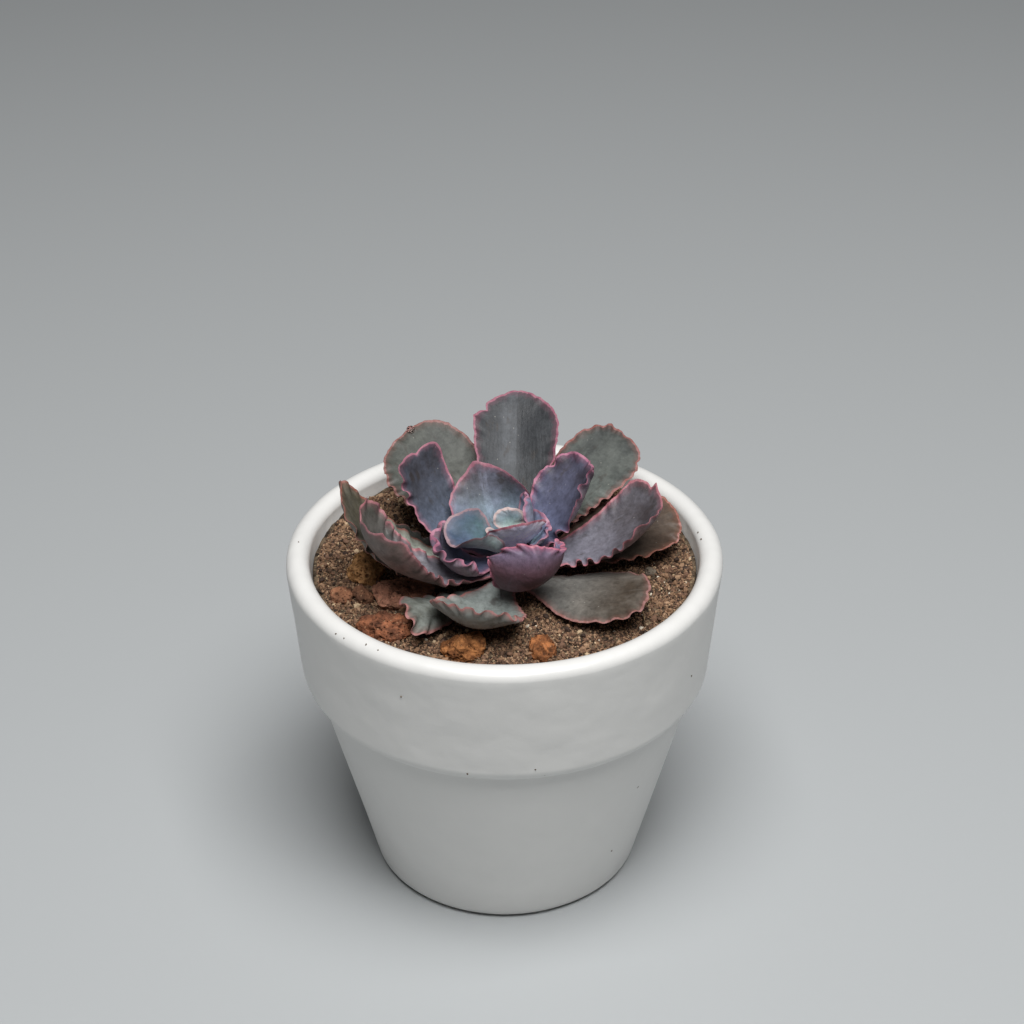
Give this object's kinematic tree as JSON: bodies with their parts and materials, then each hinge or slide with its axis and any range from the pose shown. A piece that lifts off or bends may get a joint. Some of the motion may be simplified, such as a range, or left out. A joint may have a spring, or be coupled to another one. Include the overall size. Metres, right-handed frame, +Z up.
{
  "type": "potted succulent",
  "caption": "Ruffled rosette succulent growing in sandy soil with porous orange stones, in a round off-white ceramic pot with a thick collar.",
  "frame": {"origin": "centre of the pot's underside, on the surface that it stands on", "axes": "+Z up along the pot's axis, -Y the front that faces the viewer, +X to the viewer's right"},
  "size_m": [0.1, 0.1, 0.1088],
  "materials": {
    "pot_glaze": "off-white satin glaze",
    "soil": "coarse sandy mix, matt",
    "stem": "dry matt bark",
    "stone_big_red": "pitted matt",
    "stone_brown_orange": "pitted matt",
    "stone_left_outer": "pitted matt",
    "stone_left_inner": "pitted matt",
    "stone_orange_flat": "pitted matt",
    "stone_orange_square": "pitted matt",
    "stone_orange_right": "pitted matt",
    "pebble_pale": "pitted matt",
    "leaf_back": "waxy bloom, satin",
    "leaf_back_left": "waxy bloom, satin",
    "leaf_left": "waxy bloom, satin",
    "leaf_front_left_low": "waxy bloom, satin",
    "leaf_front": "waxy bloom, satin",
    "leaf_front_right": "waxy bloom, satin",
    "leaf_right": "waxy bloom, satin",
    "leaf_back_right": "waxy bloom, satin",
    "leaf_left_low": "waxy bloom, satin",
    "leaf_back_low": "waxy bloom, satin",
    "leaf_upper_left": "waxy bloom, satin",
    "leaf_upper_right": "waxy bloom, satin",
    "leaf_inner_left": "waxy bloom, satin",
    "leaf_inner_right": "waxy bloom, satin",
    "leaf_inner_front_left": "waxy bloom, satin",
    "leaf_inner_back": "waxy bloom, satin",
    "leaf_inner_front": "waxy bloom, satin",
    "leaf_small_right": "waxy bloom, satin",
    "leaf_small_left": "waxy bloom, satin",
    "leaf_small_front": "waxy bloom, satin",
    "leaf_bud_right": "waxy bloom, satin",
    "leaf_bud_back": "waxy bloom, satin",
    "leaf_bud_centre": "waxy bloom, satin"
  },
  "bodies": {
    "root": {"pot": "pot_glaze", "soil": "soil", "stem": "stem", "stone_big_red": "stone_big_red", "stone_brown_orange": "stone_brown_orange", "stone_left_outer": "stone_left_outer", "stone_left_inner": "stone_left_inner", "stone_orange_flat": "stone_orange_flat", "stone_orange_square": "stone_orange_square", "stone_orange_right": "stone_orange_right", "pebble_pale": "pebble_pale", "leaf_back": "leaf_back", "leaf_back_left": "leaf_back_left", "leaf_left": "leaf_left", "leaf_front_left_low": "leaf_front_left_low", "leaf_front": "leaf_front", "leaf_front_right": "leaf_front_right", "leaf_right": "leaf_right", "leaf_back_right": "leaf_back_right", "leaf_left_low": "leaf_left_low", "leaf_back_low": "leaf_back_low", "leaf_upper_left": "leaf_upper_left", "leaf_upper_right": "leaf_upper_right", "leaf_inner_left": "leaf_inner_left", "leaf_inner_right": "leaf_inner_right", "leaf_inner_front_left": "leaf_inner_front_left", "leaf_inner_back": "leaf_inner_back", "leaf_inner_front": "leaf_inner_front", "leaf_small_right": "leaf_small_right", "leaf_small_left": "leaf_small_left", "leaf_small_front": "leaf_small_front", "leaf_bud_right": "leaf_bud_right", "leaf_bud_back": "leaf_bud_back", "leaf_bud_centre": "leaf_bud_centre"}
  },
  "joints": []
}
